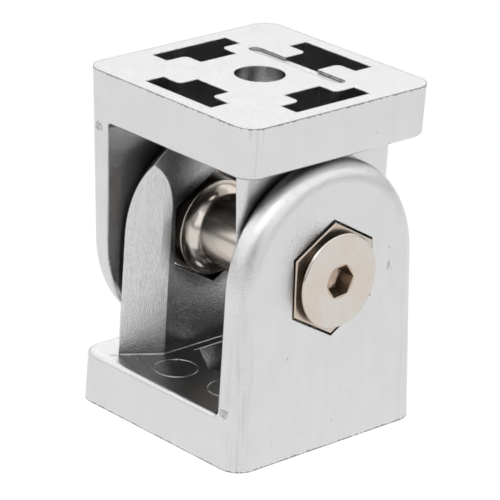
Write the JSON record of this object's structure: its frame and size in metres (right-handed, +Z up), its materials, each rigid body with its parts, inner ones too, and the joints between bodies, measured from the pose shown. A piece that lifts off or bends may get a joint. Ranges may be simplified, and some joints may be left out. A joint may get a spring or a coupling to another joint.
{
  "type": "profile pivot joint",
  "caption": "Clamped pivot joint for square slotted profile: identical cast halves with interleaved ears turn about one screwed axis.",
  "frame": {"origin": "centre of the lower half's outer face, on the surface that the joint stands on", "axes": "+Z up through both bores to the upper outer face, X along the pivot axis with +X towards the lower half's outer ear, Y across the ears"},
  "size_m": [0.042, 0.04, 0.0582],
  "materials": {
    "casting": "light silver-grey die casting, finely speckled matte skin",
    "nickel_plate": "warm bright nickel plate, smooth turned faces"
  },
  "bodies": {
    "lower": {"lower_half": "casting", "right_outer_bush": "nickel_plate", "left_inner_ring": "nickel_plate", "clamp_sleeve": "nickel_plate", "right_clamp_screw": "nickel_plate"},
    "upper": {"upper_half": "casting", "left_outer_bush": "nickel_plate", "right_inner_ring": "nickel_plate", "left_clamp_screw": "nickel_plate"}
  },
  "joints": [
    {"name": "pivot", "type": "hinge", "parent": "lower", "child": "upper", "pos_m": [0, 0, 0.0291], "axis": [1, 0, 0], "range_deg": [-90, 90]}
  ]
}
